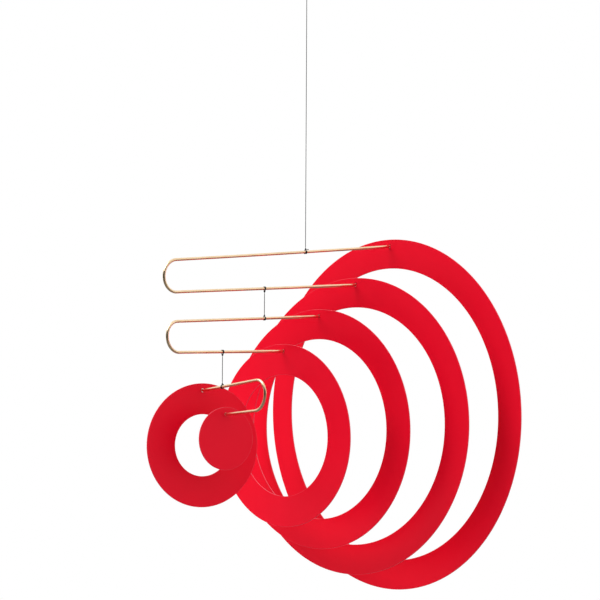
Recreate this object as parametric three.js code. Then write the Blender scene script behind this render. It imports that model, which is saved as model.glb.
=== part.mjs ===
// Hanging mobile: five flat rings and a disc hung from three hairpin wires, one under another.
// Millimetres, +Z up, X to the right and Y away from the front. The origin is the top of the
// hanging loop, and everything hangs below it in its resting position.
import * as THREE from "three";

// The rings and the disc are cut from one sheet, each fitting inside the next.
const BAND = 25;
const SHEET = 0.78;
const HOLE_RADIUS = 1.6;
// Depth of the wire's centre below a plate's top edge.
const SEAT_DEPTH = 5.9;

// Brass wire, bent into hairpins.
const WIRE_RADIUS = 1.2;
const WIRE_SIDES = 10;
// Behind each plate the wire runs on a little and its end turns up.
const END_RUN = 2.6;
const END_TURN_RADIUS = 2.4;
const END_TURN_DEG = 70;
const END_STRAIGHT = 1.6;
// Just in front of each plate the wire rises, which keeps the plate on its seat.
const RISE = 0.45;
const RISE_LENGTH = 2.4;

// Thread and its knots.
const THREAD_RADIUS = 0.3;
const THREAD_SIDES = 8;
const GAP = 0.3;
const LOOP_HEIGHT = 20;
const LOOP_WIDTH = 9;
const LOOP_FOOT = 0.55;
const LOOP_KNOT_RADIUS = 1.0;
const LOOP_KNOT_LENGTH = 2.2;
const HANGING_LENGTH = 214;
const KNOT_OUTER = 2.2;
const KNOT_INNER = WIRE_RADIUS + GAP;
const KNOT_WIDTH = 1.0;
const LOBE_CENTRE = 2.6;
const LOBE_RADIUS = 0.9;
const LOBE_TOP = LOBE_CENTRE + LOBE_RADIUS;

// Each hairpin wire hangs by its upper arm from a thread at along = 0. "along" is measured on the
// arm, positive towards the hooks; the bend is at the other end. "yaw" is the compass direction of
// the hooks, "slope" how much the hook end stands higher. The two arms open from gap_bend to
// gap_hook. "sag" bows the upper arm down a little. "shear" sets the bend's lower half back.
const TOP = {
  yaw: 41.83, slope: 5.2, upper: 97.86, lower: 57.49, bend: -150.34,
  gap_bend: 25.3, gap_hook: 32.14, sag: 0.3, shear: 0.05, next: -44.96,
};
const MIDDLE = {
  yaw: 47.14, slope: 2.88, upper: 65.94, lower: 22.75, bend: -110.45,
  gap_bend: 23.91, gap_hook: 28.95, sag: 0, shear: 0.1, next: -48.14,
};
const BOTTOM = {
  yaw: 126.81, slope: -6.46, upper: 28.1, lower: -5.42, bend: -58.96,
  gap_bend: 24.15, gap_hook: 21.87, sag: 0, shear: 0.02, next: 0,
};
// Lengths of the two short threads, from wire centre to wire centre.
const UPPER_SHORT = 24.35;
const LOWER_SHORT = 27.86;

// "bands" is the outer radius in bands, and the hole is one band less. "turn" is how far a plate
// hangs out of square with its wire, and "lean" how far its top leans away from the bend.
const RING_1 = { bands: 6, sides: 88, turn: 0.84, lean: -0.41 };
const RING_2 = { bands: 5, sides: 80, turn: 5.51, lean: 1.5 };
const RING_3 = { bands: 4, sides: 72, turn: 0.21, lean: -0.04 };
const RING_4 = { bands: 3, sides: 60, turn: -1.22, lean: -0.71 };
const RING_5 = { bands: 2, sides: 48, turn: -7.1, lean: 0.96 };
const DISC = { bands: 1, sides: 32, turn: -3.32, lean: 0.19 };

const rad = THREE.MathUtils.degToRad;

function solid(name, geometry, color, roughness, metalness) {
  const material = new THREE.MeshStandardMaterial({ color, roughness, metalness });
  const mesh = new THREE.Mesh(geometry, material);
  mesh.name = name;
  return mesh;
}

function circle(x, y, radius, sides) {
  const points = [];
  for (let i = 0; i < sides; i += 1) {
    const a = (2 * Math.PI * i) / sides;
    points.push(new THREE.Vector2(x + radius * Math.cos(a), y + radius * Math.sin(a)));
  }
  return points;
}

// A centre line through stations, with a step at each of them, so straight runs take few steps.
class Stations extends THREE.Curve {
  constructor(points) {
    super();
    this.points = points;
  }

  getPoint(t, target = new THREE.Vector3()) {
    const last = this.points.length - 1;
    const place = Math.min(Math.max(t, 0), 1) * last;
    const low = Math.min(Math.floor(place), last - 1);
    return target.lerpVectors(this.points[low], this.points[low + 1], place - low);
  }

  getPointAt(u, target) {
    return this.getPoint(u, target);
  }

  getSpacedPoints(steps) {
    return this.getPoints(steps);
  }

  // The mean of the directions before and after a station, which mitres the section there.
  getTangentAt(u, target = new THREE.Vector3()) {
    const last = this.points.length - 1;
    const i = Math.round(u * last);
    const before = new THREE.Vector3();
    const after = new THREE.Vector3();
    if (i > 0) before.subVectors(this.points[i], this.points[i - 1]).normalize();
    if (i < last) after.subVectors(this.points[i + 1], this.points[i]).normalize();
    return target.addVectors(before, after).normalize();
  }
}

function tube(points, radius, sides) {
  const section = new THREE.Shape(circle(0, 0, radius, sides));
  const path = new Stations(points);
  return new THREE.ExtrudeGeometry(section, { steps: points.length - 1, extrudePath: path });
}

// Downward bow of the upper arm, nothing at its two ends.
function bow(wire, along) {
  const x = (2 * along - wire.upper - wire.bend) / (wire.upper - wire.bend);
  return wire.sag * (1 - x * x);
}

function upperArm(wire, along) {
  const a = rad(wire.slope);
  const z = along * Math.sin(a) - bow(wire, along) + bow(wire, 0);
  return new THREE.Vector3(along * Math.cos(a), 0, z);
}

function lowerArm(wire, along) {
  const a = rad(wire.slope);
  const share = (along - wire.bend) / (wire.upper - wire.bend);
  const gap = wire.gap_bend + (wire.gap_hook - wire.gap_bend) * share;
  return new THREE.Vector3(along * Math.cos(a), 0, along * Math.sin(a) - gap + bow(wire, 0));
}

// Stations from an arm, through the rise and the seat, to the tip of the upturned end.
function hookEnd(arm, wire, along) {
  const seat = arm(wire, along);
  const heading = seat.clone().sub(arm(wire, along - 10)).normalize();
  const tilt = Math.atan2(heading.z, heading.x);
  const at = (x, z) => new THREE.Vector3(
    seat.x + x * Math.cos(tilt) - z * Math.sin(tilt),
    0,
    seat.z + x * Math.sin(tilt) + z * Math.cos(tilt),
  );
  const points = [];
  for (let i = 0; i <= 6; i += 1) {
    const x = -2 * RISE_LENGTH + (i * 2 * RISE_LENGTH) / 6.5;
    const share = Math.sin((Math.PI * i) / 6.5);
    points.push(at(x, RISE * share * share));
  }
  points.push(at(0, 0));
  points.push(at(END_RUN, 0));
  for (let i = 1; i <= 6; i += 1) {
    const a = (rad(END_TURN_DEG) * i) / 6;
    const x = END_RUN + END_TURN_RADIUS * Math.sin(a);
    points.push(at(x, END_TURN_RADIUS * (1 - Math.cos(a))));
  }
  const a = rad(END_TURN_DEG);
  const x = END_RUN + END_TURN_RADIUS * Math.sin(a) + END_STRAIGHT * Math.cos(a);
  points.push(at(x, END_TURN_RADIUS * (1 - Math.cos(a)) + END_STRAIGHT * Math.sin(a)));
  return points;
}

// The whole hairpin, from the upper arm's end round the bend to the lower arm's end.
function hairpin(name, wire) {
  const start = wire.bend + wire.gap_bend / 2;
  const points = hookEnd(upperArm, wire, wire.upper).reverse();
  const top = wire.upper - 2 * RISE_LENGTH;
  for (let i = 1; i < 10; i += 1) points.push(upperArm(wire, top + ((start - top) * i) / 10));
  const high = upperArm(wire, start);
  const low = lowerArm(wire, start);
  const middle = high.clone().add(low).multiplyScalar(0.5);
  const half = high.clone().sub(middle);
  const out = new THREE.Vector3(-Math.cos(rad(wire.slope)), 0, -Math.sin(rad(wire.slope)));
  for (let i = 0; i <= 16; i += 1) {
    const a = (Math.PI * i) / 16;
    const point = middle.clone().addScaledVector(half, Math.cos(a));
    point.addScaledVector(out, (wire.gap_bend / 2) * Math.sin(a));
    point.x += wire.shear * half.z * (1 - Math.cos(a));
    points.push(point);
  }
  const from = start + 2 * wire.shear * half.z;
  const end = wire.lower - 2 * RISE_LENGTH;
  for (let i = 1; i < 5; i += 1) points.push(lowerArm(wire, from + ((end - from) * i) / 5));
  points.push(...hookEnd(lowerArm, wire, wire.lower));
  return solid(name, tube(points, WIRE_RADIUS, WIRE_SIDES), 0xc9a468, 0.3, 1);
}

// A ring or the disc, with its origin where the wire's centre passes through its hanging hole.
function plate(name, wire, arm, along, size) {
  const radius = size.bands * BAND;
  const drop = radius - SEAT_DEPTH;
  const outline = new THREE.Shape(circle(0, -drop, radius, size.sides));
  if (size.bands > 1) outline.holes.push(new THREE.Path(circle(0, -drop, radius - BAND, size.sides)));
  const hole = WIRE_RADIUS + GAP - HOLE_RADIUS;
  outline.holes.push(new THREE.Path(circle(0, hole, HOLE_RADIUS, 16)));
  const geometry = new THREE.ExtrudeGeometry(outline, { depth: SHEET, bevelEnabled: false });
  geometry.translate(0, 0, -SHEET / 2);
  geometry.rotateX(Math.PI / 2);
  const mesh = solid(name, geometry, 0xd80a26, 0.38, 0);
  mesh.rotation.x = -rad(size.lean);
  const hung = new THREE.Group();
  hung.rotation.z = rad(size.turn - 90);
  hung.position.copy(arm(wire, along));
  hung.add(mesh);
  return hung;
}

// Thread tied round a wire: the turns round the wire with the knot's lobe on one side, cut as a
// keyhole outline across the wire. "side" is 1 for a knot above the wire and -1 for one below it.
function wireKnot(name, wire, arm, along, side) {
  const points = [];
  for (let i = 0; i < 24; i += 1) {
    const a = (2 * Math.PI * i) / 24;
    const across = LOBE_CENTRE * Math.sin(a);
    const room = LOBE_RADIUS * LOBE_RADIUS - (LOBE_CENTRE * Math.cos(a)) ** 2;
    const reach = Math.sin(a) > 0 && room > 0 ? across + Math.sqrt(room) : 0;
    const r = Math.max(KNOT_OUTER, reach);
    points.push(new THREE.Vector2(r * Math.cos(a), r * Math.sin(a)));
  }
  const outline = new THREE.Shape(points);
  outline.holes.push(new THREE.Path(circle(0, 0, KNOT_INNER, 16)));
  const geometry = new THREE.ExtrudeGeometry(outline, { depth: KNOT_WIDTH, bevelEnabled: false });
  geometry.translate(0, 0, -KNOT_WIDTH / 2);
  geometry.rotateX(Math.PI / 2);
  geometry.rotateZ(Math.PI / 2);
  const mesh = solid(name, geometry, 0x3a3a3c, 0.9, 0);
  mesh.position.copy(arm(wire, along));
  if (side < 0) mesh.rotation.x = Math.PI;
  return mesh;
}

// Straight thread down from "top" to "bottom" at x.
function thread(name, x, top, bottom) {
  const steps = Math.min(60, Math.ceil((top - bottom) / (5 * THREAD_RADIUS)));
  const points = [];
  for (let i = 0; i <= steps; i += 1) {
    points.push(new THREE.Vector3(x, 0, top + ((bottom - top) * i) / steps));
  }
  return solid(name, tube(points, THREAD_RADIUS, THREAD_SIDES), 0x6a6a6c, 0.9, 0);
}

// The tear-shaped loop above its knot, with its top at the origin.
function hangingLoop() {
  const foot = -LOOP_HEIGHT + LOOP_KNOT_LENGTH / 2 + GAP;
  const wide = LOOP_WIDTH / 2 - THREAD_RADIUS;
  const top = -THREAD_RADIUS;
  const guide = new THREE.CatmullRomCurve3([
    new THREE.Vector3(-LOOP_FOOT, 0, foot),
    new THREE.Vector3(-LOOP_FOOT - 0.9, 0, foot + 4),
    new THREE.Vector3(-wide + 0.5, 0, foot + 10),
    new THREE.Vector3(-wide, 0, top - 4),
    new THREE.Vector3(-wide * 0.62, 0, top - 0.9),
    new THREE.Vector3(0, 0, top),
    new THREE.Vector3(wide * 0.62, 0, top - 0.9),
    new THREE.Vector3(wide, 0, top - 4),
    new THREE.Vector3(wide - 0.5, 0, foot + 10),
    new THREE.Vector3(LOOP_FOOT + 0.9, 0, foot + 4),
    new THREE.Vector3(LOOP_FOOT, 0, foot),
  ]);
  return solid("hanging_loop", tube(guide.getSpacedPoints(34), THREAD_RADIUS, THREAD_SIDES), 0x6a6a6c, 0.9, 0);
}

function loopKnot() {
  const h = LOOP_KNOT_LENGTH / 2;
  const r = LOOP_KNOT_RADIUS;
  const profile = [
    new THREE.Vector2(0, -h),
    new THREE.Vector2(r * 0.55, -h),
    new THREE.Vector2(r * 0.95, -h * 0.5),
    new THREE.Vector2(r, 0),
    new THREE.Vector2(r * 0.95, h * 0.5),
    new THREE.Vector2(r * 0.75, h),
    new THREE.Vector2(0, h),
  ];
  const geometry = new THREE.LatheGeometry(profile, 12);
  geometry.rotateX(Math.PI / 2);
  const mesh = solid("loop_knot", geometry, 0x3a3a3c, 0.9, 0);
  mesh.position.z = -LOOP_HEIGHT;
  return mesh;
}

// A hairpin wire's group, hung with the upper arm's hanging point at the given place.
function arm(name, wire, position) {
  const group = new THREE.Group();
  group.name = name;
  group.position.copy(position);
  group.rotation.z = rad(wire.yaw);
  return group;
}

function build() {
  const mobile = new THREE.Group();
  mobile.name = "hanging_mobile";

  mobile.add(hangingLoop());
  mobile.add(loopKnot());
  const topZ = -LOOP_HEIGHT - HANGING_LENGTH;
  const threadTop = -LOOP_HEIGHT - LOOP_KNOT_LENGTH / 2 - GAP;
  mobile.add(thread("hanging_thread", 0, threadTop, topZ + LOBE_TOP + GAP));

  const top = arm("top_arm", TOP, new THREE.Vector3(0, 0, topZ));
  top.add(wireKnot("hanging_thread_knot", TOP, upperArm, 0, 1));
  top.add(hairpin("top_wire", TOP));
  top.add(plate("ring_1", TOP, upperArm, TOP.upper, RING_1));
  top.add(plate("ring_2", TOP, lowerArm, TOP.lower, RING_2));
  top.add(wireKnot("upper_thread_top_knot", TOP, lowerArm, TOP.next, -1));
  const upper = lowerArm(TOP, TOP.next);
  const upperTop = upper.z - LOBE_TOP - GAP;
  top.add(thread("upper_thread", upper.x, upperTop, upper.z - UPPER_SHORT + LOBE_TOP + GAP));
  mobile.add(top);

  const middle = arm("middle_arm", MIDDLE, new THREE.Vector3(
    upper.x * Math.cos(rad(TOP.yaw)),
    upper.x * Math.sin(rad(TOP.yaw)),
    topZ + upper.z - UPPER_SHORT,
  ));
  middle.add(wireKnot("upper_thread_bottom_knot", MIDDLE, upperArm, 0, 1));
  middle.add(hairpin("middle_wire", MIDDLE));
  middle.add(plate("ring_3", MIDDLE, upperArm, MIDDLE.upper, RING_3));
  middle.add(plate("ring_4", MIDDLE, lowerArm, MIDDLE.lower, RING_4));
  middle.add(wireKnot("lower_thread_top_knot", MIDDLE, lowerArm, MIDDLE.next, -1));
  const lower = lowerArm(MIDDLE, MIDDLE.next);
  const lowerTop = lower.z - LOBE_TOP - GAP;
  middle.add(thread("lower_thread", lower.x, lowerTop, lower.z - LOWER_SHORT + LOBE_TOP + GAP));
  mobile.add(middle);

  const bottom = arm("bottom_arm", BOTTOM, new THREE.Vector3(
    middle.position.x + lower.x * Math.cos(rad(MIDDLE.yaw)),
    middle.position.y + lower.x * Math.sin(rad(MIDDLE.yaw)),
    middle.position.z + lower.z - LOWER_SHORT,
  ));
  bottom.add(wireKnot("lower_thread_bottom_knot", BOTTOM, upperArm, 0, 1));
  bottom.add(hairpin("bottom_wire", BOTTOM));
  bottom.add(plate("ring_5", BOTTOM, upperArm, BOTTOM.upper, RING_5));
  bottom.add(plate("disc", BOTTOM, lowerArm, BOTTOM.lower, DISC));
  mobile.add(bottom);
  return mobile;
}

export default build();
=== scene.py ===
import bpy
import numpy as np
from mathutils import Matrix, Vector


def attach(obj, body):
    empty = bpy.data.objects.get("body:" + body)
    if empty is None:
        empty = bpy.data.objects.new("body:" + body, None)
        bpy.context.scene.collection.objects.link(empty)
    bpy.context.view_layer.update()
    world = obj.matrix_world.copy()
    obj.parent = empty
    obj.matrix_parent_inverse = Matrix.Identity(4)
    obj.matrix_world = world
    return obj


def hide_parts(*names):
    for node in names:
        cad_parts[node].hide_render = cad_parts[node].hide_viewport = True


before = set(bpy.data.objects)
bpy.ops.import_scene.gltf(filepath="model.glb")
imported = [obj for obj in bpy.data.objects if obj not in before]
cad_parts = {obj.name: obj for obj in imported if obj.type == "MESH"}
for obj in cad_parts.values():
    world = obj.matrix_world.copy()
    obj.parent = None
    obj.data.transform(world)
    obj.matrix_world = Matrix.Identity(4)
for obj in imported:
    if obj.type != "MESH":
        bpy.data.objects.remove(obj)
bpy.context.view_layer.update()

bl_info = {
    "name": "Hanging mobile",
    "version": (1, 0, 0),
    "blender": (4, 5, 0),
    "location": "3D Viewport > Sidebar > Mobile",
    "description": "Five rings and a disc of red sheet, hung from three bent brass wires",
    "category": "Add Mesh",
}

MM = 1000.0      # from metres to millimetres
HALF_MM = 500.0  # from a diameter in metres to a radius in millimetres

# Millimetres, as in the solid model. make_piece turns them into metres.
SEAT_DEPTH = 5.9         # a plate's top edge over the line of its wire
HOLE_RADIUS = 1.45       # hanging hole
EDGE_MARGIN = 0.12       # flat face kept beside a rounded edge, for its shading
FACE_INSET = 3.0         # from a ring's edges to the next stations of its face
PATCH_HALF = 9.5         # half the length of band that a hole's collar fills
RISE = 0.3               # climb of a wire just before its plate
RISE_LENGTH = 2.0        # length of wire that climbs
END_RUN = 1.6            # straight stretch through the plate
END_TURN_RADIUS = 2.4    # arc that turns the tip up
END_TURN_DEG = 70.0      # how steep the tip is, in degrees
END_STRAIGHT = 0.6       # straight stretch at the tip
TILT_STRETCH = 10.0      # last stretch of a line, which a hook's tilt is taken from
LOOP_HEIGHT = 20.0       # from the loop's knot to its top
LOOP_WIDTH = 9.0
LOOP_FOOT = 0.55         # half the distance between the loop's legs at the knot
LOOP_KNOT_LENGTH = 2.2
HANGING_LENGTH = 214.0   # from the loop's knot to the top wire
UPPER_SHORT = 24.35      # short threads, from wire to wire
LOWER_SHORT = 27.86
KNOT_REACH = 3.5         # from a wire's middle to the end of the solid knot
GAP = 0.3                # from a solid knot to its solid thread
JOIN = 0.03              # hairline between a knot's thread and the thread beyond it
TOP_Z = -LOOP_HEIGHT - HANGING_LENGTH

PLIES, PLY_DEPTH = 3, 0.2
WRAP_TURNS = 2
# A wire knot's winding: radius above a wire and under it, then how far under and over the place
# where the turns meet it begins and ends, how many turns it has and the angle it starts at
WINDING_RADIUS = {1: 0.4, -1: 0.58}
WINDING_UNDER, WINDING_OVER, WINDING_TURNS, WINDING_START = 0.35, 0.75, 2.0, 0.4

# How finely the shapes are cut
CLIMB_STEPS, TURN_STEPS, TIP_STEPS = 25, 15, 5      # a hook's climb, turn and tip
UPPER_STEPS, BEND_STEPS, LOWER_STEPS = 60, 73, 40   # a wire's upper line, bend and lower line
DOME_STEPS, EDGE_STEPS = 6, 5                       # a tube's dome, a sheet's rounded edge
WRAP_STEPS, COIL_STEPS = 48, 28                     # one turn round a wire, one turn of a coil
CURVE_STEPS, WIRE_SIDES = 16, 28
# Share of the way from a hanging hole to its border, for each round of the face there
RING_COLLAR = (0.72, 0.48, 0.28, 0.12, 0.0)
DISC_COLLAR = (0.85, 0.68, 0.5, 0.33, 0.18, 0.07, 0.0)

# The long thread's route, in metres: straight up from the top wire's knot to the loop's knot.
CORD_EXIT = (0.0, 0.0, -0.2302)
CORD_END = (0.0, 0.0, -0.0214)

# An arm hangs at one point of its upper line. yaw and slope are degrees. upper, lower, bend and
# next are how far along the arm from there its two hooks, its bend and the next arm's thread are.
# gap_bend and gap_hook are the gap between its lines at the bend and at the upper hook, sag is
# the bow of the upper line, and at is the hanging point. shear moves the lower end of the bend
# towards the hooks, by that share of the gap.
TOP = dict(yaw=41.83, slope=5.2, upper=97.86, lower=57.49, bend=-150.34, gap_bend=25.3,
           gap_hook=32.14, sag=0.3, shear=0.05, next=-44.96, at=(0.0, 0.0, TOP_Z))
MIDDLE = dict(yaw=47.14, slope=2.88, upper=65.94, lower=22.75, bend=-110.45, gap_bend=23.91,
              gap_hook=28.95, sag=0.0, shear=0.1, next=-48.14, at=None)
BOTTOM = dict(yaw=126.81, slope=-6.46, upper=28.1, lower=-5.42, bend=-58.96, gap_bend=24.15,
              gap_hook=21.87, sag=0.0, shear=0.02, next=0.0, at=None)

# node, arm, which of its two lines, outer radius in bands, columns round it, turn, lean
PLATES = (
    ("ring_1", "top_arm", "upper", 6, 360, 0.84, -0.41),
    ("ring_2", "top_arm", "lower", 5, 320, 5.51, 1.5),
    ("ring_3", "middle_arm", "upper", 4, 280, 0.21, -0.04),
    ("ring_4", "middle_arm", "lower", 3, 240, -1.22, -0.71),
    ("ring_5", "bottom_arm", "upper", 2, 200, -7.1, 0.96),
    ("disc", "bottom_arm", "lower", 1, 144, -3.32, 0.19),
)


def linear(code):
    """Linear red, green, blue and alpha of an sRGB hex colour."""
    s = np.array([int(code[i:i + 2], 16) for i in (0, 2, 4)]) / 255
    c = np.where(s <= 0.04045, s / 12.92, ((s + 0.055) / 1.055) ** 2.4)
    return (*c.tolist(), 1.0)


# ---------------------------------------------------------------- shapes

def turned(points, axis, degrees):
    """Points turned about the x or z axis through the origin by the right-hand rule."""
    c, s = np.cos(np.radians(degrees)), np.sin(np.radians(degrees))
    m = {"x": [[1, 0, 0], [0, c, -s], [0, s, c]], "z": [[c, -s, 0], [s, c, 0], [0, 0, 1]]}[axis]
    return points @ np.array(m, dtype=float).T


def placed(points, arm):
    """From an arm's own axes, x towards its hooks, to the model's."""
    return turned(points, "z", arm["yaw"]) + np.array(arm["at"])


def bow(arm, along):
    """Drop of the upper line: the sag times one less the square of the share from the middle."""
    x = (2 * along - arm["upper"] - arm["bend"]) / (arm["upper"] - arm["bend"])
    return arm["sag"] * (1 - x * x)


def upper_line(arm, along):
    """Centre line of the upper line at distances along it: the slope less the bow."""
    along = np.asarray(along, dtype=float)
    a = np.radians(arm["slope"])
    z = along * np.sin(a) - bow(arm, along) + bow(arm, 0)
    return np.stack([along * np.cos(a), 0 * along, z], axis=-1)


def lower_line(arm, along):
    """Centre line of the lower line: the slope less a gap that grows evenly towards the hooks."""
    along = np.asarray(along, dtype=float)
    a = np.radians(arm["slope"])
    share = (along - arm["bend"]) / (arm["upper"] - arm["bend"])
    gap = arm["gap_bend"] + (arm["gap_hook"] - arm["gap_bend"]) * share
    return np.stack([along * np.cos(a), 0 * along, along * np.sin(a) - gap + bow(arm, 0)], axis=-1)


LINES = {"upper": upper_line, "lower": lower_line}


def hang_arms():
    """Puts each lower arm's hanging point straight under the line that carries it."""
    drop = lower_line(TOP, TOP["next"])
    MIDDLE["at"] = tuple(placed(drop, TOP) - [0, 0, UPPER_SHORT])
    drop = lower_line(MIDDLE, MIDDLE["next"])
    BOTTOM["at"] = tuple(placed(drop, MIDDLE) - [0, 0, LOWER_SHORT])


hang_arms()
ARMS = {"top_arm": TOP, "middle_arm": MIDDLE, "bottom_arm": BOTTOM}


def hook_end(line, arm, along):
    """Stations from the line to the wire's tip. The height over the line is RISE times the square
    of the share of the way to the plate, goes on straight through it, then an arc turns the tip
    up."""
    seat, before = line(arm, along), line(arm, along - TILT_STRETCH)
    tilt = np.arctan2(seat[2] - before[2], seat[0] - before[0])
    share = np.linspace(0, 1, CLIMB_STEPS)
    lean = np.arctan2(2 * RISE, RISE_LENGTH)
    run = END_RUN * np.array([0.33, 0.66, 1.0])
    a = np.linspace(lean, np.radians(END_TURN_DEG), TURN_STEPS)[1:]
    tip = np.linspace(0, END_STRAIGHT, TIP_STEPS)[1:]
    x = np.concatenate([(share - 1) * RISE_LENGTH, run * np.cos(lean),
                        END_RUN * np.cos(lean) + END_TURN_RADIUS * (np.sin(a) - np.sin(lean))])
    z = np.concatenate([
        share ** 2 * RISE, RISE + run * np.sin(lean),
        RISE + END_RUN * np.sin(lean) + END_TURN_RADIUS * (np.cos(lean) - np.cos(a))])
    x = np.concatenate([x, x[-1] + tip * np.cos(a[-1])])
    z = np.concatenate([z, z[-1] + tip * np.sin(a[-1])])
    c, s = np.cos(tilt), np.sin(tilt)
    return seat + np.stack([x * c - z * s, 0 * x, x * s + z * c], axis=-1)


def hairpin(arm):
    """Centre line of a whole wire: hook, upper line, a half circle out and round, lower line,
    hook. The bend goes towards the hooks by the shear times half the gap times 1 - cos a."""
    start = arm["bend"] + arm["gap_bend"] / 2
    high, low = upper_line(arm, start), lower_line(arm, start)
    middle, half = (high + low) / 2, (high - low) / 2
    slope = np.radians(arm["slope"])
    out = np.array([-np.cos(slope), 0, -np.sin(slope)])
    a = np.linspace(0, np.pi, BEND_STEPS)[:, None]
    bend = middle + half * np.cos(a) + out * (arm["gap_bend"] / 2) * np.sin(a)
    bend[:, 0] += (arm["shear"] * half[2] * (1 - np.cos(a)))[:, 0]
    back = start + 2 * arm["shear"] * half[2]
    upper = upper_line(arm, np.linspace(arm["upper"] - RISE_LENGTH, start, UPPER_STEPS)[1:-1])
    lower = lower_line(arm, np.linspace(back, arm["lower"] - RISE_LENGTH, LOWER_STEPS)[1:-1])
    return np.concatenate([
        hook_end(upper_line, arm, arm["upper"])[::-1], upper, bend, lower,
        hook_end(lower_line, arm, arm["lower"])])


def lengths(path):
    """Distance along a path at each of its points."""
    return np.concatenate([[0.0], np.cumsum(np.linalg.norm(np.diff(path, axis=0), axis=1))])


def at_lengths(path, at):
    """Points of a path at given distances along it."""
    here = lengths(path)
    return np.stack([np.interp(at, here, path[:, k]) for k in range(3)], axis=1)


def unit(v):
    """Vectors at length 1."""
    return v / np.linalg.norm(v, axis=-1, keepdims=True)


def rounded_tube(path, across, radius, sides, plies=0, depth=0.0, pitch=1.0, step=None):
    """A section carried along a path, with domed ends. Point (i, j) is path i plus radius times
    (cos a_j times the normal plus sin a_j times the binormal). The normal is the fixed direction
    across, less its part along the path. For a twisted thread the section is a few lobes, radius
    times (1 - depth + depth |cos(plies (a - twist) / 2)|), and the twist grows along the path."""
    here = lengths(path)
    length = here[-1]
    dome = radius * (1 - np.cos(np.linspace(0.06, np.pi / 2, DOME_STEPS)))
    past = radius * 1.1
    inside = (np.arange(past, length - past, step) if step
              else here[(here > past) & (here < length - past)])
    at = np.concatenate([dome, inside, length - dome[::-1]])
    size = np.sqrt(np.clip(1 - (1 - np.minimum(at, length - at) / radius).clip(0) ** 2, 0, 1))
    centre = at_lengths(path, at)
    tangent = unit(np.gradient(centre, axis=0))
    across = np.asarray(across, dtype=float)
    normal = unit(across - (tangent @ across)[:, None] * tangent)
    binormal = np.cross(tangent, normal)
    a = np.arange(sides) * 2 * np.pi / sides
    section = np.ones((len(at), sides))
    if plies:
        twist = 2 * np.pi * at[:, None] / pitch
        section = 1 - depth + depth * np.abs(np.cos(plies * (a[None, :] - twist) / 2))
    reach = (radius * size)[:, None] * section
    points = (centre[:, None, :] + (reach * np.cos(a))[..., None] * normal[:, None, :]
              + (reach * np.sin(a))[..., None] * binormal[:, None, :]).reshape(-1, 3)
    i, j = np.meshgrid(np.arange(len(at) - 1), np.arange(sides), indexing="ij")
    k = (j + 1) % sides
    quads = np.stack([i * sides + j, i * sides + k, (i + 1) * sides + k, (i + 1) * sides + j], -1)
    arc = 2 * np.pi * radius / sides
    uv = np.stack([np.stack([j * arc, (j + 1) * arc, (j + 1) * arc, j * arc], -1),
                   np.stack([at[i], at[i], at[i + 1], at[i + 1]], -1)], -1)
    ends = np.stack([np.arange(sides)[::-1], (len(at) - 1) * sides + np.arange(sides)])
    return dict(
        points=points, loops=np.concatenate([quads.reshape(-1), ends.reshape(-1)]),
        totals=np.concatenate([np.full(quads.size // 4, 4), np.full(2, sides)]),
        uv=np.concatenate([uv.reshape(-1, 2), np.zeros((2 * sides, 2))]) / MM)


def rim_section(radius, way, half, soft):
    """Section of a cut edge from front to back at a radius: a quarter round, a wall, a quarter
    round. way is 1 for an outer edge and -1 for the edge of a hole."""
    b = np.linspace(-np.pi / 2, 0, EDGE_STEPS)
    r = radius - way * soft + way * soft * np.cos(b)
    y = -half + soft + soft * np.sin(b)
    return np.concatenate([r, r[::-1]]), np.concatenate([y, -y[::-1]])


def collar(border, back, points, hole, half, soft, shares):
    """Sheet round a hanging hole: rounds on the front at the hole's edge plus a share of the way
    from there to the border, the hole's wall, and the same rounds on the back. Returns the points,
    the index grid and the marks of the cut edge."""
    away = unit(points[border][:, [0, 2]] - hole)
    near = hole + away * (HOLE_RADIUS + soft + EDGE_MARGIN)
    flat = near + (points[border][:, [0, 2]] - near) * shares[:, None, None]
    r, y = rim_section(HOLE_RADIUS, -1, half, soft)
    wall = hole + away * r[:, None, None]
    plan = np.concatenate([flat, wall, flat[::-1]])
    depth = np.concatenate([np.full(len(shares), -half), y, np.full(len(shares), half)])
    new = np.stack([plan[..., 0], depth[:, None] + 0 * plan[..., 0], plan[..., 1]], -1)
    mark = np.concatenate([np.zeros(len(shares)), np.ones(len(y)), np.zeros(len(shares))])
    grid = len(points) + np.arange(new[..., 0].size).reshape(new.shape[:2])
    return (np.concatenate([points, new.reshape(-1, 3)]), np.vstack([border, grid, back]),
            np.repeat(mark, len(border)))


def grid_quads(grid):
    """Faces of an index grid that closes round its columns."""
    side = np.roll(grid, -1, axis=1)
    return np.stack([grid[:-1], side[:-1], side[1:], grid[1:]], -1).reshape(-1, 4)


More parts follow.
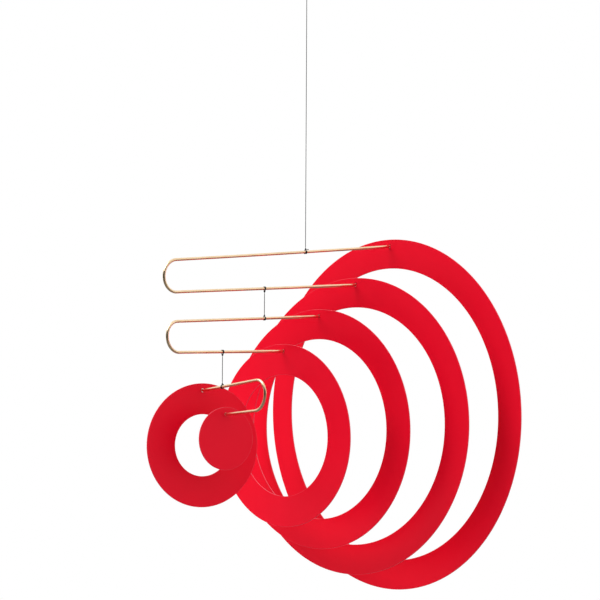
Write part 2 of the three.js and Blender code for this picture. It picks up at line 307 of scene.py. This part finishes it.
def plate(bands, columns, band, sheet, soft):
    """A ring or the disc, hanging from the origin. Point (j, s) is station s of the section at
    compass angle j: x = r cos and z = r sin from the plate's middle, y = the section's depth. The
    face round the hanging hole is a collar grid instead."""
    outer, half = bands * band, sheet / 2
    a = np.pi / 2 + np.arange(columns) * 2 * np.pi / columns
    r_out, y_out = rim_section(outer, 1, half, soft)
    hole = np.array([0.0, RISE])
    if bands > 1:
        inner = outer - band
        face = np.concatenate([[inner + soft + EDGE_MARGIN],
                               np.linspace(inner + FACE_INSET, outer - FACE_INSET, 5),
                               [outer - soft - EDGE_MARGIN]])
        r_in, y_in = rim_section(inner, -1, half, soft)
        r = np.concatenate([face, r_out, face[::-1], r_in[::-1]])
        y = np.concatenate([0 * face - half, y_out, 0 * face + half, y_in[::-1]])
        mark = np.concatenate([0 * face, 0 * r_out + 1, 0 * face, 0 * r_in + 1])
    else:
        r = np.concatenate([[outer - soft - EDGE_MARGIN], r_out, [outer - soft - EDGE_MARGIN]])
        y = np.concatenate([[-half], y_out, [half]])
        mark = np.concatenate([[0], 0 * r_out + 1, [0]])
    n = len(r)
    points = np.stack([r * np.cos(a)[:, None], y + 0 * a[:, None],
                       r * np.sin(a)[:, None] - (outer - SEAT_DEPTH)], -1).reshape(-1, 3)
    marks = np.tile(mark, columns)
    j, s = np.meshgrid(np.arange(columns), np.arange(n if bands > 1 else n - 1), indexing="ij")
    if bands > 1:
        m, last = int(np.ceil(PATCH_HALF / (outer * 2 * np.pi / columns))), len(face) - 1
        behind = last + len(r_out) + 1
        patch = (j < m) | (j >= columns - m)
        keep = ~(patch & ((s < last) | ((s >= behind) & (s < behind + last))))
        row = np.arange(-m, m + 1)
        down = np.arange(last - 1, 0, -1)
        bj = np.concatenate([row, 0 * down + m, row[::-1], 0 * down - m]) % columns
        bs = np.concatenate([0 * row + last, down, 0 * row, down[::-1]])
        border, back = bj * n + bs, bj * n + behind + last - bs
        shares = np.array(RING_COLLAR)
    else:
        keep = np.ones(j.shape, bool)
        border, back = np.arange(columns) * n, np.arange(columns) * n + n - 1
        shares = np.array(DISC_COLLAR)
    k, t = (j + 1) % columns, (s + 1) % n
    quads = np.stack([j * n + s, j * n + t, k * n + t, k * n + s], -1)[keep]
    points, grid, more = collar(border, back, points, hole, half, soft, shares)
    quads = np.concatenate([quads, grid_quads(grid)])
    return dict(points=points, loops=quads.reshape(-1), totals=np.full(len(quads), 4),
                marks=np.concatenate([marks, more]))


def wrap(reach, spread, turns, wire, thread):
    """Thread round a wire, in the knot's axes: x along the wire, z towards the thread. Seen along
    the wire each turn is a teardrop: a circle of radius rh, and its two tangents from the knot at
    height reach, so r(a) = rh / cos(max(at - |a|, 0)) with cos(at) = rh / reach. Along the wire
    it is spread times the squared sine of half the turn, to one side and then to the other."""
    rh = wire + thread
    t = np.linspace(0, 2 * np.pi * turns, WRAP_STEPS * turns + 1)
    a = (t + np.pi) % (2 * np.pi) - np.pi
    r = rh / np.cos(np.maximum(np.arccos(rh / reach) - np.abs(a), 0))
    side = np.where((t // (2 * np.pi)) % 2 == 0, -1.0, 1.0)
    side[-1] = 1.0
    x = spread * side * np.sin(t / 2) ** 2
    return np.stack([x, -r * np.sin(a), r * np.cos(a)], -1)


def coil(radius, low, high, turns, start):
    """Thread wound round the standing thread: a helix, x = radius cos a and y = radius sin a, that
    climbs evenly from low to high as a grows from start by the turns."""
    t = np.linspace(0, 1, int(COIL_STEPS * turns) + 1)
    a = start + 2 * np.pi * turns * t
    return np.stack([radius * np.cos(a), radius * np.sin(a), low + (high - low) * t], -1)


def arc_through(*stops):
    """A smooth line through a few points: a Catmull-Rom curve."""
    p = np.array(stops, dtype=float)
    p = np.vstack([2 * p[0] - p[1], p, 2 * p[-1] - p[-2]])
    t = np.linspace(0, 1, CURVE_STEPS + 1)[None, :-1, None]
    a, b, c, d = (p[i:len(p) - 3 + i, None, :] for i in range(4))
    q = 0.5 * (2 * b + (c - a) * t + (2 * a - 5 * b + 4 * c - d) * t ** 2
               + (3 * b - a - 3 * c + d) * t ** 3)
    return np.vstack([q.reshape(-1, 3), p[-2]])


# ---------------------------------------------------------------- pieces and materials

def make_piece(name, shells, material, body, nodes):
    """One object from closed shells in millimetres, riding on its body in place of its nodes."""
    mesh = bpy.data.meshes.new(name)
    first = np.cumsum([0] + [len(s["points"]) for s in shells])
    points = np.concatenate([s["points"] for s in shells]) / MM
    loops = np.concatenate([s["loops"] + n for s, n in zip(shells, first)])
    totals = np.concatenate([s["totals"] for s in shells])
    mesh.vertices.add(len(points))
    mesh.vertices.foreach_set("co", points.reshape(-1))
    mesh.loops.add(len(loops))
    mesh.loops.foreach_set("vertex_index", loops.astype(np.int32))
    mesh.polygons.add(len(totals))
    starts = np.concatenate([[0], np.cumsum(totals)[:-1]])
    mesh.polygons.foreach_set("loop_start", starts.astype(np.int32))
    mesh.polygons.foreach_set("use_smooth", np.ones(len(totals), bool))
    if "uv" in shells[0]:
        uv = np.concatenate([s["uv"] for s in shells])
        mesh.uv_layers.new(name="surface").uv.foreach_set("vector", uv.reshape(-1))
    if "marks" in shells[0]:
        marks = np.concatenate([s["marks"] for s in shells])
        mesh.attributes.new("cut_edge_and_highlight", "FLOAT", "POINT").data.foreach_set("value", marks)
    mesh.update(calc_edges=True)
    if mesh.validate():
        raise RuntimeError(f"{name} has broken faces")
    piece = bpy.data.objects.new(name, mesh)
    bpy.context.scene.collection.objects.link(piece)
    mesh.materials.append(material)
    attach(piece, body)
    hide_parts(*nodes)
    return piece


def add_node(tree, kind, settings=(), **links):
    """One node with its settings, a dict of attribute or socket to value, and its links, each
    socket name with spaces as underscores to the output that feeds it."""
    node = tree.nodes.new(kind)
    for key, value in dict(settings).items():
        if isinstance(key, str) and hasattr(node, key):
            setattr(node, key, value)
        else:
            node.inputs[key].default_value = value
    for key, source in links.items():
        socket = int(key[1:]) if key[1:].isdigit() else key.replace("_", " ")
        tree.links.new(node.inputs[socket], source)
    return node


def new_material(name, **shader):
    """A material with only a Principled shader, whose even values are set on its own sockets. One
    that is there already comes back without its tree and shader."""
    material = bpy.data.materials.get(name)
    if material:
        return material, None, None
    material = bpy.data.materials.new(name)
    material.use_nodes = True
    tree = material.node_tree
    tree.nodes.clear()
    body = add_node(tree, "ShaderNodeBsdfPrincipled",
                    {key.replace("_", " "): value for key, value in shader.items()})
    add_node(tree, "ShaderNodeOutputMaterial", Surface=body.outputs["BSDF"])
    return material, tree, body


def colour_mix(tree, one, other, share):
    """A mix of two even colours by a share that another node gives."""
    return add_node(tree, "ShaderNodeMix", {"data_type": "RGBA", 6: one, 7: other},
                    Factor=share).outputs[2]


def red_sheet(colours):
    """Polystyrene sheet dyed right through, calendered and die cut. The rollers leave a satin
    face with a very fine grain and little shine. The die burnishes the cut edge, so it is shinier
    and shows as a pale line where it faces the light. The cut edge's paler pink colour is partly
    a painted highlight for that pale line."""
    material, tree, body = new_material("calendered_red_polystyrene", IOR=1.55)
    if tree is None:
        return material
    place = add_node(tree, "ShaderNodeTexCoord").outputs["Object"]
    # Dye cloud about 70 mm across
    cloud = add_node(tree, "ShaderNodeTexNoise", {"Scale": 14.0, "Detail": 2.0}, Vector=place)
    tone = colour_mix(tree, colours.face, colours.face_deep, cloud.outputs["Fac"])
    # The cut edges get a paler pink colour, which is partly a painted highlight for the pale lines
    # along lit edges, and more shine
    edge = add_node(tree, "ShaderNodeAttribute", {"attribute_name": "cut_edge_and_highlight"})
    colour = add_node(tree, "ShaderNodeMix", {"data_type": "RGBA", 7: colours.cut_edge_and_highlight},
                      Factor=edge.outputs["Fac"], _6=tone)
    tree.links.new(body.inputs["Base Color"], colour.outputs[2])
    gloss = add_node(tree, "ShaderNodeMapRange", {"To Min": 0.1, "To Max": 0.7},
                     Value=edge.outputs["Fac"])
    tree.links.new(body.inputs["Specular IOR Level"], gloss.outputs["Result"])
    # Roller grain 0.9 mm across; the real one is finer and wouldn't show
    grain = add_node(tree, "ShaderNodeTexNoise", {"Scale": 1100.0, "Detail": 3.0}, Vector=place)
    bump = add_node(tree, "ShaderNodeBump", {"Strength": 0.25, "Distance": 0.00003},
                    Height=grain.outputs["Fac"])
    tree.links.new(body.inputs["Normal"], bump.outputs["Normal"])
    # Handling makes the satin uneven in patches of about 20 mm
    patch = add_node(tree, "ShaderNodeTexNoise", {"Scale": 50.0, "Detail": 3.0}, Vector=place)
    rough = add_node(tree, "ShaderNodeMapRange", {"To Min": 0.36, "To Max": 0.46},
                     Value=patch.outputs["Fac"])
    tree.links.new(body.inputs["Roughness"], rough.outputs["Result"])
    return material


def brass_wire(colours):
    """Brass wire pulled through a die and polished. Drawing leaves faint lines along it, and the
    air a slightly browner tone in patches, so its mirror is soft."""
    material, tree, body = new_material("drawn_polished_brass", Metallic=1.0)
    if tree is None:
        return material
    coords = add_node(tree, "ShaderNodeTexCoord")
    # Draw lines 0.35 mm apart round the wire and about 25 mm long
    lines_at = add_node(tree, "ShaderNodeMapping", {"Scale": (2800.0, 40.0, 1.0)},
                        Vector=coords.outputs["UV"])
    lines = add_node(tree, "ShaderNodeTexNoise", {"Scale": 1.0, "Detail": 2.0},
                     Vector=lines_at.outputs["Vector"])
    # Tarnish patches about 12 mm across
    patch = add_node(tree, "ShaderNodeTexNoise", {"Scale": 80.0, "Detail": 3.0},
                     Vector=coords.outputs["Object"])
    share = add_node(tree, "ShaderNodeMapRange",
                     {"From Min": 0.42, "From Max": 0.75, "To Max": 0.5},
                     Value=patch.outputs["Fac"])
    tone = colour_mix(tree, colours.brass, colours.brass_deep, share.outputs["Result"])
    tree.links.new(body.inputs["Base Color"], tone)
    rough = add_node(tree, "ShaderNodeMapRange", {"To Min": 0.2, "To Max": 0.36},
                     Value=lines.outputs["Fac"])
    tree.links.new(body.inputs["Roughness"], rough.outputs["Result"])
    bump = add_node(tree, "ShaderNodeBump", {"Strength": 0.12, "Distance": 0.00002},
                    Height=lines.outputs["Fac"])
    tree.links.new(body.inputs["Normal"], bump.outputs["Normal"])
    return material


def spun_thread(colours):
    """Polyester thread of three plies, spun and dyed dark. Its fibres run along each ply, so it
    has fine streaks and a dull, slightly furry sheen."""
    material, tree, body = new_material("spun_dark_polyester", Roughness=0.72, Sheen_Weight=0.1,
                                        Sheen_Roughness=0.45)
    if tree is None:
        return material
    uv = add_node(tree, "ShaderNodeTexCoord").outputs["UV"]
    # Fibre streaks 0.06 mm wide and about 1 mm long
    streak_at = add_node(tree, "ShaderNodeMapping", {"Scale": (16000.0, 1000.0, 1.0),
                                                     "Rotation": (0.0, 0.0, 0.35)}, Vector=uv)
    streak = add_node(tree, "ShaderNodeTexNoise", {"Scale": 1.0, "Detail": 2.0},
                      Vector=streak_at.outputs["Vector"])
    tone = colour_mix(tree, colours.thread_deep, colours.thread, streak.outputs["Fac"])
    tree.links.new(body.inputs["Base Color"], tone)
    bump = add_node(tree, "ShaderNodeBump", {"Strength": 0.4, "Distance": 0.00002},
                    Height=streak.outputs["Fac"])
    tree.links.new(body.inputs["Normal"], bump.outputs["Normal"])
    return material


def length_prop(name, description, default):
    """A length in metres."""
    return bpy.props.FloatProperty(name=name, description=description, default=default, min=0.0,
                                   precision=5, unit="LENGTH", subtype="DISTANCE")


def colour_prop(name, description, code):
    """A colour, from its sRGB hex code."""
    return bpy.props.FloatVectorProperty(name=name, description=description, size=4, min=0.0,
                                         max=1.0, default=linear(code), subtype="COLOR")


def power_prop(name, description, default):
    """A light's power in watts."""
    return bpy.props.FloatProperty(name=name, description=description, default=default, min=0.0,
                                   subtype="POWER", unit="POWER")


class MobileSizes(bpy.types.PropertyGroup):
    band: length_prop("Band", "Breadth of a ring's band, and radius of the disc", 0.025)
    sheet: length_prop("Sheet", "Thickness of the rings and the disc", 0.00078)
    soft: length_prop("Edge round", "Rounding of the sheet's cut edges", 0.00012)
    wire: length_prop("Wire", "Diameter of the brass wire", 0.00235)
    thread: length_prop("Thread", "Diameter of the thread", 0.0006)
    pitch: length_prop("Twist", "Length of thread in which its plies turn once", 0.0019)
    tail: length_prop("Tail", "Length of the loose end at the long thread's knot", 0.0032)


class MobileColours(bpy.types.PropertyGroup):
    face: colour_prop("Red", "Colour of the rings and the disc", "E90427")
    face_deep: colour_prop("Deep red", "Darker dye in the same sheet", "E00323")
    # Paler pink of the cut edges, partly a painted highlight for the pale rim lines
    cut_edge_and_highlight: colour_prop("Cut edge", "Colour of the sheet's cut edges", "DA2440")
    brass: colour_prop("Brass", "Colour of the polished wire", "F4D8B0")
    brass_deep: colour_prop("Tarnish", "Colour of the wire where the air has browned it", "DEB888")
    thread: colour_prop("Thread", "Colour of the thread's fibres", "1C1A19")
    thread_deep: colour_prop("Deep thread", "Colour between the fibres", "0E0D0C")


class MobileStudio(bpy.types.PropertyGroup):
    camera: bpy.props.FloatVectorProperty(name="Camera", description="Place of the camera",
                                          size=3, default=(-0.00436, -1.77362, -0.34498),
                                          subtype="XYZ", unit="LENGTH")
    lens: bpy.props.FloatProperty(name="Lens", description="Focal length in mm", default=128.21,
                                  unit="CAMERA")
    pitch: bpy.props.FloatProperty(name="Pitch", description="How far the camera looks up",
                                   default=float(np.radians(2.292)), subtype="ANGLE",
                                   unit="ROTATION")
    roll: bpy.props.FloatProperty(name="Roll", description="How far the camera leans to its left",
                                  default=float(np.radians(0.3)), subtype="ANGLE", unit="ROTATION")
    floor: bpy.props.FloatProperty(name="Floor", description="Height of the floor", default=-1.0,
                                   subtype="DISTANCE", unit="LENGTH")
    key: power_prop("Key light", "Power of the soft light high at the left", 9.3)
    fill: power_prop("Fill light", "Power of the large soft light in front at the right", 11.0)
    low: power_prop("Low light", "Power of the soft light low at the left", 2.8)


# Steps of the world's light: where each starts, where it is full and how bright it is there
CEILING = (0.2, 0.95, 1.1)
BACKDROP = (-0.22, 0.0, 1.05)
BACKDROP_FOOT = (-0.32, -0.08, 1.0)
BACKWARDS = (0.35, 0.94, 0.0)
LIGHT_AIM = (0.0, 0.0, -0.38)
# The floor's grid, in metres, and the distances over which it brightens
FLOOR_HUB, FLOOR_RADIUS, FLOOR_RINGS, FLOOR_SIDES = 0.02, 4.4, 45, 96
FLOOR_FADE = {"From Min": 1.6, "From Max": 4.2, "To Min": 0.62, "To Max": 1.0}


def soft_light(name, place, size, power, mirrored):
    """A square soft box at a place, facing the mobile. One that isn't mirrored lights the mobile
    without showing in its shiny surfaces."""
    data = bpy.data.lights.new(name, "AREA")
    data.shape, data.size, data.energy = "SQUARE", size, power
    light = bpy.data.objects.new(name, data)
    light.location = place
    light.rotation_euler = (Vector(LIGHT_AIM) - Vector(place)).to_track_quat("-Z", "Y").to_euler()
    light.visible_camera, light.visible_glossy = False, mirrored
    bpy.context.scene.collection.objects.link(light)


def studio_world():
    """White to look at. As light it is the brighter of a ceiling, a smooth step of the direction's
    z, and a backdrop, a step of its part towards the back and a little right times one of z."""
    world = bpy.data.worlds.new("studio")
    world.use_nodes = True
    tree = world.node_tree
    tree.nodes.clear()
    way = add_node(tree, "ShaderNodeTexCoord").outputs["Generated"]
    up = add_node(tree, "ShaderNodeSeparateXYZ", Vector=way).outputs["Z"]
    back = add_node(tree, "ShaderNodeVectorMath", {"operation": "DOT_PRODUCT", 1: BACKWARDS},
                    _0=way).outputs["Value"]

    def step(value, low, high, bright):
        settings = {"interpolation_type": "SMOOTHSTEP", "From Min": low, "From Max": high,
                    "To Max": bright}
        return add_node(tree, "ShaderNodeMapRange", settings, Value=value).outputs["Result"]

    backdrop = add_node(tree, "ShaderNodeMath", {"operation": "MULTIPLY"},
                        _0=step(back, *BACKDROP), _1=step(up, *BACKDROP_FOOT))
    bright = add_node(tree, "ShaderNodeMath", {"operation": "MAXIMUM"},
                      _0=step(up, *CEILING), _1=backdrop.outputs[0])
    plain = {"Color": (1.0, 1.0, 1.0, 1.0)}
    light = add_node(tree, "ShaderNodeBackground", plain, Strength=bright.outputs[0])
    white = add_node(tree, "ShaderNodeBackground", plain)
    seen = add_node(tree, "ShaderNodeLightPath").outputs["Is Camera Ray"]
    both = add_node(tree, "ShaderNodeMixShader", _0=seen, _1=light.outputs[0], _2=white.outputs[0])
    add_node(tree, "ShaderNodeOutputWorld", Surface=both.outputs[0])
    bpy.context.scene.world = world


def floor_paint():
    """Matt pale paint. To the camera it brightens towards its edge, and ends as white as the
    surroundings."""
    material, tree, body = new_material("matt_painted_floor", Roughness=0.9,
                                        Base_Color=linear("6E6C6A"))
    if tree is None:
        return material
    place = add_node(tree, "ShaderNodeTexCoord").outputs["Object"]
    # Roller marks about 250 mm across
    mark = add_node(tree, "ShaderNodeTexNoise", {"Scale": 4.0, "Detail": 3.0}, Vector=place)
    tone = colour_mix(tree, linear("F1EFEC"), linear("F7F6F4"), mark.outputs["Fac"])
    tree.links.new(body.inputs["Emission Color"], tone)
    far = add_node(tree, "ShaderNodeVectorMath", {"operation": "LENGTH"}, _0=place)
    share = add_node(tree, "ShaderNodeMapRange",
                     {"interpolation_type": "SMOOTHSTEP", **FLOOR_FADE}, Value=far.outputs["Value"])
    seen = add_node(tree, "ShaderNodeMath", {"operation": "MULTIPLY"}, _0=share.outputs["Result"],
                    _1=add_node(tree, "ShaderNodeLightPath").outputs["Is Camera Ray"])
    tree.links.new(body.inputs["Emission Strength"], seen.outputs[0])
    return material


def studio_floor(height):
    """Round floor: a grid of radius r and angle a at one height, x = r cos a and y = r sin a."""
    r = np.linspace(FLOOR_HUB, FLOOR_RADIUS, FLOOR_RINGS)[:, None]
    a = np.arange(FLOOR_SIDES) * 2 * np.pi / FLOOR_SIDES
    points = np.stack([r * np.cos(a), r * np.sin(a), height + 0 * r * a], -1)
    grid = np.arange(FLOOR_RINGS * FLOOR_SIDES).reshape(FLOOR_RINGS, FLOOR_SIDES)
    quads = grid_quads(grid)[:, ::-1]
    mesh = bpy.data.meshes.new("studio_floor")
    mesh.from_pydata(points.reshape(-1, 3).tolist(), [], quads.tolist() + [grid[0].tolist()])
    mesh.update()
    floor = bpy.data.objects.new("studio_floor", mesh)
    bpy.context.scene.collection.objects.link(floor)
    mesh.materials.append(floor_paint())


class MOBILE_OT_stage(bpy.types.Operator):
    """Camera, soft lights, pale floor and white surroundings"""
    bl_idname = "mobile.stage"
    bl_label = "Stage"

    def execute(self, context):
        studio = context.scene.mobile_studio
        data = bpy.data.cameras.new("camera")
        data.sensor_width, data.lens = 36.0, studio.lens
        data.clip_start, data.clip_end = 0.05, 50.0
        camera = bpy.data.objects.new("camera", data)
        camera.location = studio.camera
        level = Matrix.Rotation(np.pi / 2 + studio.pitch, 3, "X")
        camera.rotation_euler = (level @ Matrix.Rotation(studio.roll, 3, "Z")).to_euler()
        context.scene.collection.objects.link(camera)
        context.scene.camera = camera
        # place, size and power, in metres and watts, and whether shiny surfaces mirror it
        soft_light("key_light", (-0.73, -0.14, 0.5), 0.75, studio.key, True)
        soft_light("fill_light", (0.75, -0.95, -0.2), 1.6, studio.fill, False)
        soft_light("low_light", (-0.65, -0.25, -0.65), 0.6, studio.low, False)
        studio_world()
        studio_floor(studio.floor)
        context.scene.view_settings.view_transform = "Standard"
        return {"FINISHED"}


def thread_tube(path, sizes, across=(0, 1, 0), fine=True):
    """A length of the twisted thread along a path in millimetres. sides is how many points it has
    round it, and stations how many it has along one twist."""
    sides, stations = (15, 12) if fine else (12, 9)
    pitch = sizes.pitch * MM
    return rounded_tube(path, across, sizes.thread * HALF_MM, sides, PLIES, PLY_DEPTH, pitch,
                        pitch / stations)


class MOBILE_OT_long_thread(bpy.types.Operator):
    """The long thread, with the loop it hangs by and the loop's knot"""
    bl_idname = "mobile.long_thread"
    bl_label = "Long thread"

    def execute(self, context):
        sizes, colours = context.scene.mobile_sizes, context.scene.mobile_colours
        material = spun_thread(colours)
        route = np.linspace(CORD_EXIT, CORD_END, 24)
        long_thread = make_piece("long_thread", [thread_tube(route * MM, sizes)], material,
                                 "hanger", ["hanging_thread"])
        r, h = sizes.thread * HALF_MM, LOOP_KNOT_LENGTH / 2
        foot, wide, top = -LOOP_HEIGHT + h + GAP, LOOP_WIDTH / 2 - r, -r
        # Right half of the loop, from its foot to just beside its top
        half = [(LOOP_FOOT, 0, foot), (LOOP_FOOT + 0.9, 0, foot + 4), (wide - 0.5, 0, foot + 10),
                (wide, 0, top - 4), (wide * 0.62, 0, top - 0.9)]
        line = arc_through(*[(-x, y, z) for x, y, z in half], (0, 0, top), *half[::-1])
        loop = make_piece("thread_loop", [thread_tube(line, sizes)], material, "hanger",
                          ["hanging_loop"])
        # The knot is drawn round its own middle
        shift = np.array([0, 0, -LOOP_HEIGHT])
        legs = [thread_tube(shift + arc_through((x, 0, h + 0.25), (x * 0.5, 0.1 * x, h * 0.3),
                                                (0.12 * x, 0, -h - 0.25)), sizes)
                for x in (-0.5, 0.5)]
        winding = shift + coil(0.68, -h + r, h - r, 2.5, 0.6)
        tail = shift + arc_through((0.5, 0.2, h - r - 0.1), (1.0, 0.5, h - 0.5),
                                   (2.0, 0.7, h - 1.1))
        knot = make_piece("loop_hitch", legs + [thread_tube(winding, sizes, (0, 0, 1)),
                                                thread_tube(tail, sizes, (0, 0, 1))],
                          material, "hanger", ["loop_knot"])
        return {"FINISHED"}


class MOBILE_OT_plates(bpy.types.Operator):
    """The five rings and the disc, cut from red sheet"""
    bl_idname = "mobile.plates"
    bl_label = "Rings and disc"

    def execute(self, context):
        sizes, colours = context.scene.mobile_sizes, context.scene.mobile_colours
        material = red_sheet(colours)
        for node, body, line, bands, columns, turn, lean in PLATES:
            shell = plate(bands, columns, sizes.band * MM, sizes.sheet * MM, sizes.soft * MM)
            arm = ARMS[body]
            points = turned(turned(shell["points"], "x", -lean), "z", turn - 90)
            shell["points"] = placed(points + LINES[line](arm, arm[line]), arm)
            make_piece(node.replace("_", "_plate_") if "_" in node else "disc_plate", [shell],
                       material, body, [node])
        return {"FINISHED"}


class MOBILE_OT_wires(bpy.types.Operator):
    """The three bent brass wires"""
    bl_idname = "mobile.wires"
    bl_label = "Wires"

    def execute(self, context):
        sizes, colours = context.scene.mobile_sizes, context.scene.mobile_colours
        material = brass_wire(colours)
        for body, arm in ARMS.items():
            shell = rounded_tube(hairpin(arm), (0, 1, 0), sizes.wire * HALF_MM, WIRE_SIDES)
            shell["points"] = placed(shell["points"], arm)
            wire = body.replace("_arm", "_wire")
            make_piece(f"{wire}_drawn", [shell], material, body, [wire])
        return {"FINISHED"}


def wire_knot(sizes, arm, line, along, side, reach, spread, tail):
    """Shells of one knot: two turns round the wire, a winding round the standing thread and a
    loose end. side is 1 for a knot above the wire and -1 for one under it. reach is how far from
    the wire's middle the turns meet, spread how far along the wire each of them strays, and tail
    the loose end's route from where they meet."""
    turns = wrap(reach, spread, WRAP_TURNS, sizes.wire * HALF_MM, sizes.thread * HALF_MM)
    bundle = coil(WINDING_RADIUS[side], reach - WINDING_UNDER, reach + WINDING_OVER,
                  WINDING_TURNS, WINDING_START)
    stand = np.linspace((0, 0, reach - 0.15), (0, 0, KNOT_REACH + GAP - JOIN), 6)
    loose = arc_through(*[(x, y, z + reach) for x, y, z in tail])
    slope = line(arm, along + 1) - line(arm, along - 1)
    rise = side * slope[2] / slope[0]
    shells = []
    # The turns follow the slope of the wire
    turns = turns + turns[:, :1] * [0, 0, rise]
    for path, way in ((turns, (1, 0, 0)), (bundle, (0, 0, 1)), (stand, (0, 1, 0)),
                      (loose, (0, 0, 1))):
        if side < 0:
            path = path * [1, -1, -1]
        shell = thread_tube(path, sizes, way, fine=False)
        shell["points"] = placed(shell["points"] + line(arm, along), arm)
        shells.append(shell)
    return shells


class MOBILE_OT_knots(bpy.types.Operator):
    """The five knots that tie the threads to the wires"""
    bl_idname = "mobile.knots"
    bl_label = "Knots"

    def execute(self, context):
        sizes, colours = context.scene.mobile_sizes, context.scene.mobile_colours
        material = spun_thread(colours)
        tail = sizes.tail * MM
        # Routes of the loose ends, from where the turns meet
        right = ((0.3, -0.25, 0.1), (0.35 * tail, -0.5, 0.15), (0.75 * tail, -0.6, 0.1),
                 (tail, -0.6, 0.2))
        left = ((-0.2, -0.3, 0.0), (-0.9, -0.55, -0.1), (-1.7, -0.6, -0.35))
        short = ((-0.25, -0.25, 0.1), (-0.8, -0.6, -0.2), (-0.9, -0.9, -0.9))
        under = ((0.25, -0.3, 0.1), (0.9, -0.55, -0.2), (1.5, -0.6, -0.8))
        # node, arm, line, how far along it, above or under the wire, reach, spread, loose end
        plan = (
            ("hanging_thread_knot", "top_arm", "upper", 0.0, 1, 2.05, 0.8, right),
            ("upper_thread_top_knot", "top_arm", "lower", TOP["next"], -1, 2.1, 0.45, under),
            ("upper_thread_bottom_knot", "middle_arm", "upper", 0.0, 1, 2.0, 0.55, left),
            ("lower_thread_top_knot", "middle_arm", "lower", MIDDLE["next"], -1, 2.1, 0.45, under),
            ("lower_thread_bottom_knot", "bottom_arm", "upper", 0.0, 1, 1.95, 0.4, short),
        )
        for node, body, line, along, side, reach, spread, end in plan:
            shells = wire_knot(sizes, ARMS[body], LINES[line], along, side, reach, spread, end)
            make_piece(node.replace("knot", "hitch"), shells, material, body, [node])
        return {"FINISHED"}


class MOBILE_OT_short_threads(bpy.types.Operator):
    """The two short threads between the wires"""
    bl_idname = "mobile.short_threads"
    bl_label = "Short threads"

    def execute(self, context):
        sizes, colours = context.scene.mobile_sizes, context.scene.mobile_colours
        material = spun_thread(colours)
        for node, body, length in (("upper_thread", "top_arm", UPPER_SHORT),
                                   ("lower_thread", "middle_arm", LOWER_SHORT)):
            arm = ARMS[body]
            knot = placed(lower_line(arm, arm["next"]), arm)
            ends = knot - np.array([[0, 0, KNOT_REACH + GAP], [0, 0, length - KNOT_REACH - GAP]])
            shell = thread_tube(np.linspace(ends[0], ends[1], 12), sizes)
            make_piece(f"{node}_spun", [shell], material, body, [node])
        return {"FINISHED"}


OPERATORS = (MOBILE_OT_stage, MOBILE_OT_long_thread, MOBILE_OT_plates, MOBILE_OT_wires,
             MOBILE_OT_knots, MOBILE_OT_short_threads)


class MOBILE_PT_panel(bpy.types.Panel):
    """Lists the mobile's sizes, colours and makers"""
    bl_idname = "MOBILE_PT_panel"
    bl_label = "Hanging mobile"
    bl_space_type = "VIEW_3D"
    bl_region_type = "UI"
    bl_category = "Mobile"

    def draw(self, context):
        for group in (context.scene.mobile_sizes, context.scene.mobile_colours,
                      context.scene.mobile_studio):
            for name in group.__annotations__:
                self.layout.prop(group, name)
        for operator in OPERATORS:
            self.layout.operator(operator.bl_idname)


CLASSES = (MobileSizes, MobileColours, MobileStudio, *OPERATORS, MOBILE_PT_panel)


def register():
    for cls in CLASSES:
        bpy.utils.register_class(cls)
    bpy.types.Scene.mobile_sizes = bpy.props.PointerProperty(type=MobileSizes)
    bpy.types.Scene.mobile_colours = bpy.props.PointerProperty(type=MobileColours)
    bpy.types.Scene.mobile_studio = bpy.props.PointerProperty(type=MobileStudio)


def unregister():
    for name in ("mobile_studio", "mobile_colours", "mobile_sizes"):
        delattr(bpy.types.Scene, name)
    for cls in reversed(CLASSES):
        bpy.utils.unregister_class(cls)


def main():
    register()
    bpy.ops.mobile.stage()
    bpy.ops.mobile.long_thread()
    bpy.ops.mobile.plates()
    bpy.ops.mobile.wires()
    bpy.ops.mobile.knots()
    bpy.ops.mobile.short_threads()


if __name__ == "__main__":
    main()
